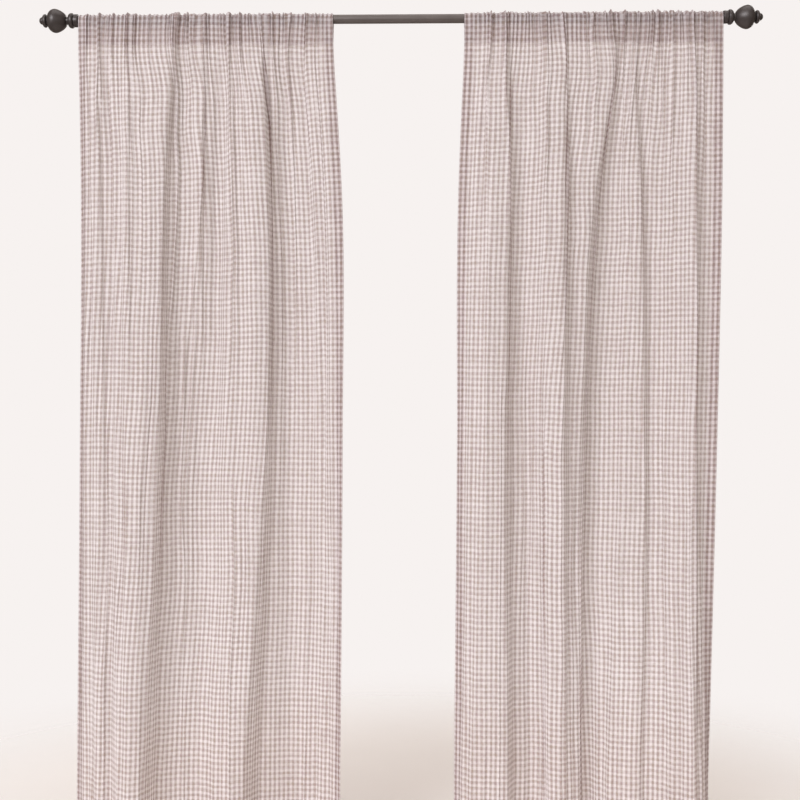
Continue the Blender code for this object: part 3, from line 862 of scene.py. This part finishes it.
# Lockstitch in white polyester thread: 3 mm stitches, on both faces of each hem and the pocket.
STITCH_LENGTH = 3.0 * MM
STITCH_GAP = 0.6 * MM
THREAD_RADIUS = 0.16 * MM
THREAD_RISE = 0.6
FOOT_STITCH_INSET = 3.0 * MM


def stitches_along(line, normals):
    """Points and faces of one row of stitches, each a bead of thread tapered at both ends."""
    steps = np.linalg.norm(np.diff(line, axis=0), axis=1)
    length = np.concatenate([[0.0], np.cumsum(steps)])
    starts = np.arange(STITCH_LENGTH, length[-1] - STITCH_LENGTH, STITCH_LENGTH)

    def at(distance, values):
        return np.stack([np.interp(distance, length, values[:, k]) for k in range(3)], axis=1)

    ends = (at(starts, line), at(starts + STITCH_LENGTH - STITCH_GAP, line))
    normal = at(starts, normals)
    along = ends[1] - ends[0]
    side = np.cross(along, normal)
    side /= np.linalg.norm(side, axis=1)[:, None]
    rings = [ends[0]]
    for share in (0.25, 0.75):
        middle = ends[0] + share * along + normal * THREAD_RADIUS * THREAD_RISE
        for turn in range(4):
            angle = 0.5 * math.pi * turn
            rings.append(middle + THREAD_RADIUS * (math.cos(angle) * side
                                                   + math.sin(angle) * normal))
    rings.append(ends[1])
    points = np.stack(rings, axis=1)
    last = len(rings) - 1
    bead = []
    for turn in range(4):
        after = (turn + 1) % 4
        bead += [(0, 1 + after, 1 + turn), (last, 5 + turn, 5 + after),
                 (1 + turn, 1 + after, 5 + after), (1 + turn, 5 + after, 5 + turn)]
    faces = np.array(bead)[None] + len(rings) * np.arange(len(starts))[:, None, None]
    return points.reshape(-1, 3), faces.reshape(-1, 3)


def polyester_thread():
    """Spun polyester thread: off-white with a faint twist, slightly glossy."""
    made, tree, output = new_material("spun_polyester_thread")
    place = add_node(tree, "TexCoord", {}).outputs["Object"]
    twist = add_node(tree, "TexNoise", {"Vector": place, "Scale": 1 / (0.7 * MM), "Detail": 2.0})
    colour = add_node(tree, "Mix", {0: twist.outputs[0], 6: linear("#D8CFCA"),
                                    7: linear("#F3EDEA")}, data_type="RGBA")
    bump = add_node(tree, "Bump", {"Height": twist.outputs[0], "Strength": 0.4,
                                   "Distance": 0.1 * MM})
    spun = add_node(tree, "BsdfPrincipled", {"Base Color": colour.outputs[2], "Roughness": 0.55,
                                             "Normal": bump.outputs[0]})
    tree.links.new(spun.outputs[0], output.inputs["Surface"])
    return made


def sew_panel(name, panel, node, material, thread):
    """The sheet of one panel, which replaces the panel's solid, and its stitching."""
    points, normals, weave = cloth_grid(panel)
    cloth = sheet_of_cloth(name, points, weave, material)
    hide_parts(node)

    along = cloth_columns()[0]
    front_rows = slice(FIRST_FRONT_ROW, FIRST_FRONT_ROW + HANGING_ROWS)
    seam_row = FIRST_FRONT_ROW + HANGING_ROWS - 1
    above_foot = hanging_heights() - FOOT_Z
    hem_row = FIRST_FRONT_ROW + int(np.argmin(np.abs(above_foot - FOOT_HEM + FOOT_STITCH_INSET)))
    lines = []
    for at_front, at_back in ((HEM_LINE, -HEM_LINE),
                              (CLOTH_WIDTH - HEM_LINE, CLOTH_WIDTH + HEM_LINE)):
        for place, face in ((at_front, 1.0), (at_back, -1.0)):
            chosen = int(np.argmin(np.abs(along - place)))
            lines.append((points[front_rows, chosen], face * normals[front_rows, chosen]))
    inner = slice(TURNED_COLUMNS, len(along) - TURNED_COLUMNS)
    for row, face in ((seam_row, 1.0), (-1, 1.0), (hem_row, 1.0), (0, -1.0)):
        lines.append((points[row, inner], face * normals[row, inner]))

    all_points, all_faces, count = [], [], 0
    for line, normal in lines:
        sewn, faces = stitches_along(line, normal)
        all_points.append(sewn)
        all_faces.append(faces + count)
        count += len(sewn)
    stitching = soft_piece(name + "_stitching", np.concatenate(all_points),
                           np.concatenate(all_faces), thread)


voile = sheer_gingham_voile()
thread = polyester_thread()
sew_panel("sheer_panel_left", Panel(LEFT_FOLDS, LEFT_PUCKERS, LEFT_CREASES, seed=11),
          "panel_left", voile, thread)

# The right panel is the same make and cut as the left one. It is pushed together a little more
# unevenly, so its folds are its own.
RIGHT_FOLDS = [
    ( 185,  167,  164,  156,    0,  -10,  -42,  0.2),
    ( 213,  190,  182,  166,    6,    8,  -36,  0.2),
    ( 239,  226,  206,  182,   26,   34,  -14,  0.2),
    ( 268,  264,  240,  206,   48,   54,    8,  0.3),
    ( 296,  300,  284,  286,   46,   50,   10,  0.8),
    ( 320,  326,  332,  352,    8,    0,  -45,  0.2),
    ( 353,  352,  359,  378,    4,   -8,  -54,  0.2),
    ( 384,  380,  382,  404,   14,    6,  -47,  0.2),
    ( 420,  420,  420,  436,   42,   50,   -6,  0.3),
    ( 458,  456,  450,  464,   46,   54,   -2,  0.8),
    ( 484,  484,  490,  484,    4,   18,  -14,  0.2),
    ( 608,  540,  500,  496,    8,   14,  -20,  0.8),
    ( 636,  590,  556,  538,  -52,  -50,  -72,  0.2),
    ( 643,  628,  612,  570,  -46,  -46,  -34,  0.2),
    ( 649,  650,  645,  598,  -28,  -26,    2,  0.3),
    ( 655,  681,  690,  660,  -22,  -24,   18,  0.8),
    ( 674,  708,  722,  700,  -54,  -48,    6,  0.2),
    ( 735,  738,  744,  735,  -48,  -44,   16,  0.2),
    ( 782,  786,  786,  775,  -14,  -14,   40,  0.2),
    ( 820,  830,  826,  818,   14,   18,   66,  0.9),
    ( 846,  858,  852,  840,  -18,  -16,   44,  0.3),
    ( 882,  886,  872,  858,  -18,  -22,   12,  0.2),
    ( 916,  915,  901,  875,  -10,  -14,  -10,  0.0),
]
RIGHT_PUCKERS = [
    ( 256,  9, 340,   0),
    ( 290,  9, 280,   0),
    ( 308, 13, 480,   0),
    ( 358,  7, 250,   0),
    ( 404, 10, 280,   0),
    ( 420,  9, 280,   0),
    ( 470, 12, 480,   0),
    ( 518,  8, 280,   0),
    ( 538,  8, 280,   0),
    ( 578, 10, 280,   0),
    ( 597, 10, 280,   0),
    ( 612, 10, 280,   0),
    ( 624, 13, 480, -60),
    ( 649,  8, 280,   0),
    ( 664, 11, 480,   0),
    ( 692,  9, 280,   0),
    ( 723,  7, 250,   0),
    ( 763,  9, 280,   0),
    ( 792,  8, 280,   0),
    ( 810,  9, 280,   0),
    ( 832, 12, 480,   0),
    ( 862, 10, 280,   0),
]
RIGHT_CREASES = [
    ( 262,  254,     0,  -900, 5.0, -0.5),
    ( 302,  311,     0,  -800, 8.0,  0.8),
    ( 418,  411,     0,  -700, 5.5,  0.5),
    ( 470,  471,     0,  -800, 7.0,  0.7),
    ( 556,  556,   -60,  -450, 4.0,  0.5),
    ( 622,  512,     0, -2500, 9.0, -0.8),
    ( 640,  684,   -30, -1000, 6.0,  0.6),
    ( 726,  727,     0,  -520, 6.0, -0.6),
    ( 779,  783,   -40,  -800, 5.0,  0.5),
    ( 829,  843,     0, -2500, 7.0,  0.7),
    ( 860,  858,     0,  -520, 4.5, -0.5),
    ( 285,  281, -1000, -2700, 5.0,  0.5),
    ( 411,  410, -1100, -2700, 5.0, -0.5),
    ( 462,  462, -1000, -2700, 5.0,  0.6),
    ( 488,  490, -1300, -2700, 4.0, -0.5),
    ( 690,  700, -1050, -1700, 4.5,  0.5),
    ( 752,  762, -1050, -2700, 5.0,  0.5),
    ( 822,  817, -1300, -2700, 5.0, -0.5),
]
sew_panel("sheer_panel_right", Panel(RIGHT_FOLDS, RIGHT_PUCKERS, RIGHT_CREASES, seed=23),
          "panel_right", voile, thread)

# The studio: a plain pale floor just under the hems, which fades into a pale surround, wide soft
# light from the front left, with a softbox in it, and weaker light from the front right, from
# behind and from above.
FLOOR_Z = FOOT_Z - 11.0 * MM
FLOOR_RADIUS = 2.7
FLOOR_FULL = 0.9
bpy.ops.object.select_all(action="DESELECT")
bpy.ops.mesh.primitive_circle_add(vertices=96, radius=FLOOR_RADIUS, fill_type="NGON",
                                  location=(0.0, 0.0, FLOOR_Z))
floor = start_piece("studio_floor")
floor_paint, tree, output = new_material("pale_matt_floor")
place = add_node(tree, "TexCoord", {}).outputs["Object"]
speckle = add_node(tree, "TexNoise", {"Vector": place, "Scale": 2.0, "Detail": 4.0})
tone = add_node(tree, "Mix", {0: speckle.outputs[0], 6: linear("#EEEAE7"), 7: linear("#F4F0ED")},
                data_type="RGBA")
matt = add_node(tree, "BsdfPrincipled", {"Base Color": tone.outputs[2], "Roughness": 0.9,
                                         "Specular IOR Level": 0.2})
from_middle = add_node(tree, "VectorMath", {0: place}, operation="LENGTH")
faded = add_node(tree, "MapRange", {"Value": from_middle.outputs["Value"], "From Min": FLOOR_FULL,
                                    "From Max": FLOOR_RADIUS}, interpolation_type="SMOOTHERSTEP")
clear = add_node(tree, "BsdfTransparent", {})
edge = add_node(tree, "MixShader", {0: faded.outputs[0], 1: matt.outputs[0], 2: clear.outputs[0]})
tree.links.new(edge.outputs[0], output.inputs["Surface"])
floor.data.materials.append(floor_paint)

world = bpy.data.worlds.new("pale_surround")
bpy.context.scene.world = world
world.use_nodes = True
tree = world.node_tree
tree.nodes.clear()
seen = add_node(tree, "Background", {"Color": linear("#F7F2F0"), "Strength": 1.0})
lighting = add_node(tree, "Background", {"Color": linear("#F8E3D3"), "Strength": 0.30})
straight = add_node(tree, "LightPath", {}).outputs["Is Camera Ray"]
both = add_node(tree, "MixShader", {0: straight, 1: lighting.outputs[0], 2: seen.outputs[0]})
add_node(tree, "OutputWorld", {"Surface": both.outputs[0]})

# Each light's place, strength, spread and colour; all of them point at the panels' middle. The key
# light and the softbox are a little cooler than the rest, which leaves the shade in folds warm.
COOL_LIGHT = "#F8FBFF"
WARM_LIGHT = "#FFFCFA"
LIGHTS = {
    "key": ((-3.0, -4.5, 0.5), 1.77, 40.0, COOL_LIGHT),
    "fill": ((2.2, -4.4, -0.4), 0.35, 60.0, WARM_LIGHT),
    "back": ((2.6, 4.4, 0.4), 1.32, 40.0, WARM_LIGHT),
    "top": ((0.3, -0.4, 4.0), 1.12, 60.0, WARM_LIGHT),
}
LIT_MIDDLE = (0.0, 0.0, -1.1)
SOFTBOX_PLACE = (-2.1, -3.3, 0.9)
SOFTBOX_SIDE = 1.4
SOFTBOX_POWER = 52.0


def aim(thing, place, target):
    """Puts a light or camera at a place and points it at a target."""
    thing.location = place
    away = np.array(place) - np.array(target)
    across = math.hypot(away[0], away[1])
    thing.rotation_euler = (math.atan2(across, away[2]), 0.0, math.atan2(away[0], -away[1]))


def add_light(name, kind, place, strength, colour):
    """A light at a place, pointed at the middle of the panels."""
    lamp = bpy.data.lights.new(name, kind)
    lamp.energy = strength
    lamp.color = linear(colour)[:3]
    aim(new_object(name, lamp), place, LIT_MIDDLE)
    return lamp


for name, (place, strength, spread, colour) in LIGHTS.items():
    add_light(name, "SUN", place, strength, colour).angle = math.radians(spread)
add_light("softbox", "AREA", SOFTBOX_PLACE, SOFTBOX_POWER, COOL_LIGHT).size = SOFTBOX_SIDE

CAMERA_DISTANCE = 3.5025
CAMERA_HEIGHT = -1.086
CAMERA_TURN = math.radians(1.1)
CAMERA_LENS = 55.3
CAMERA_AIM_X = 2.0 * MM
camera_data = bpy.data.cameras.new("camera")
camera_data.lens = CAMERA_LENS
camera_data.sensor_width = 36.0
camera = new_object("camera", camera_data)
aim(camera, (CAMERA_DISTANCE * math.sin(CAMERA_TURN), -CAMERA_DISTANCE * math.cos(CAMERA_TURN),
             CAMERA_HEIGHT), (CAMERA_AIM_X, 0.0, CAMERA_HEIGHT))
bpy.context.scene.camera = camera
bpy.context.scene.view_settings.view_transform = "Standard"
